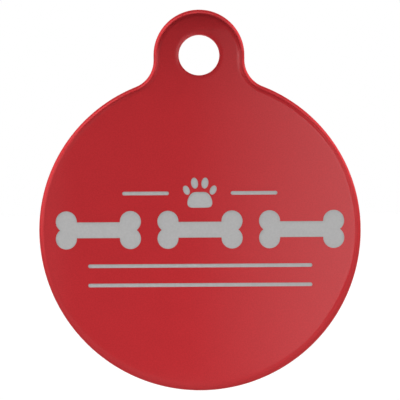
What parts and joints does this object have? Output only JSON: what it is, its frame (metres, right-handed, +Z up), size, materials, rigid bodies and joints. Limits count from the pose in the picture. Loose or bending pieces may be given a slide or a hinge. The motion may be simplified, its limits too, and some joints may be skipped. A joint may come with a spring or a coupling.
{
  "type": "pet tag",
  "caption": "Flat round pet tag stamped from dyed aluminium sheet, with a rounded ear above the disc and a plain hole through it for a collar ring.",
  "frame": {"origin": "centre of the ring hole, halfway through the sheet", "axes": "+Z up as the tag hangs from its ring, -Y out of the front face, +X to the right seen from the front"},
  "size_m": [0.0318, 0.0016, 0.0376],
  "materials": {
    "dyed_film": "red dyed anodic film over a fine satin blast",
    "engraved_metal": "bare matt metal where the film is cut away by engraving"
  },
  "bodies": {
    "root": {"tag_blank": "dyed_film"}
  },
  "joints": []
}
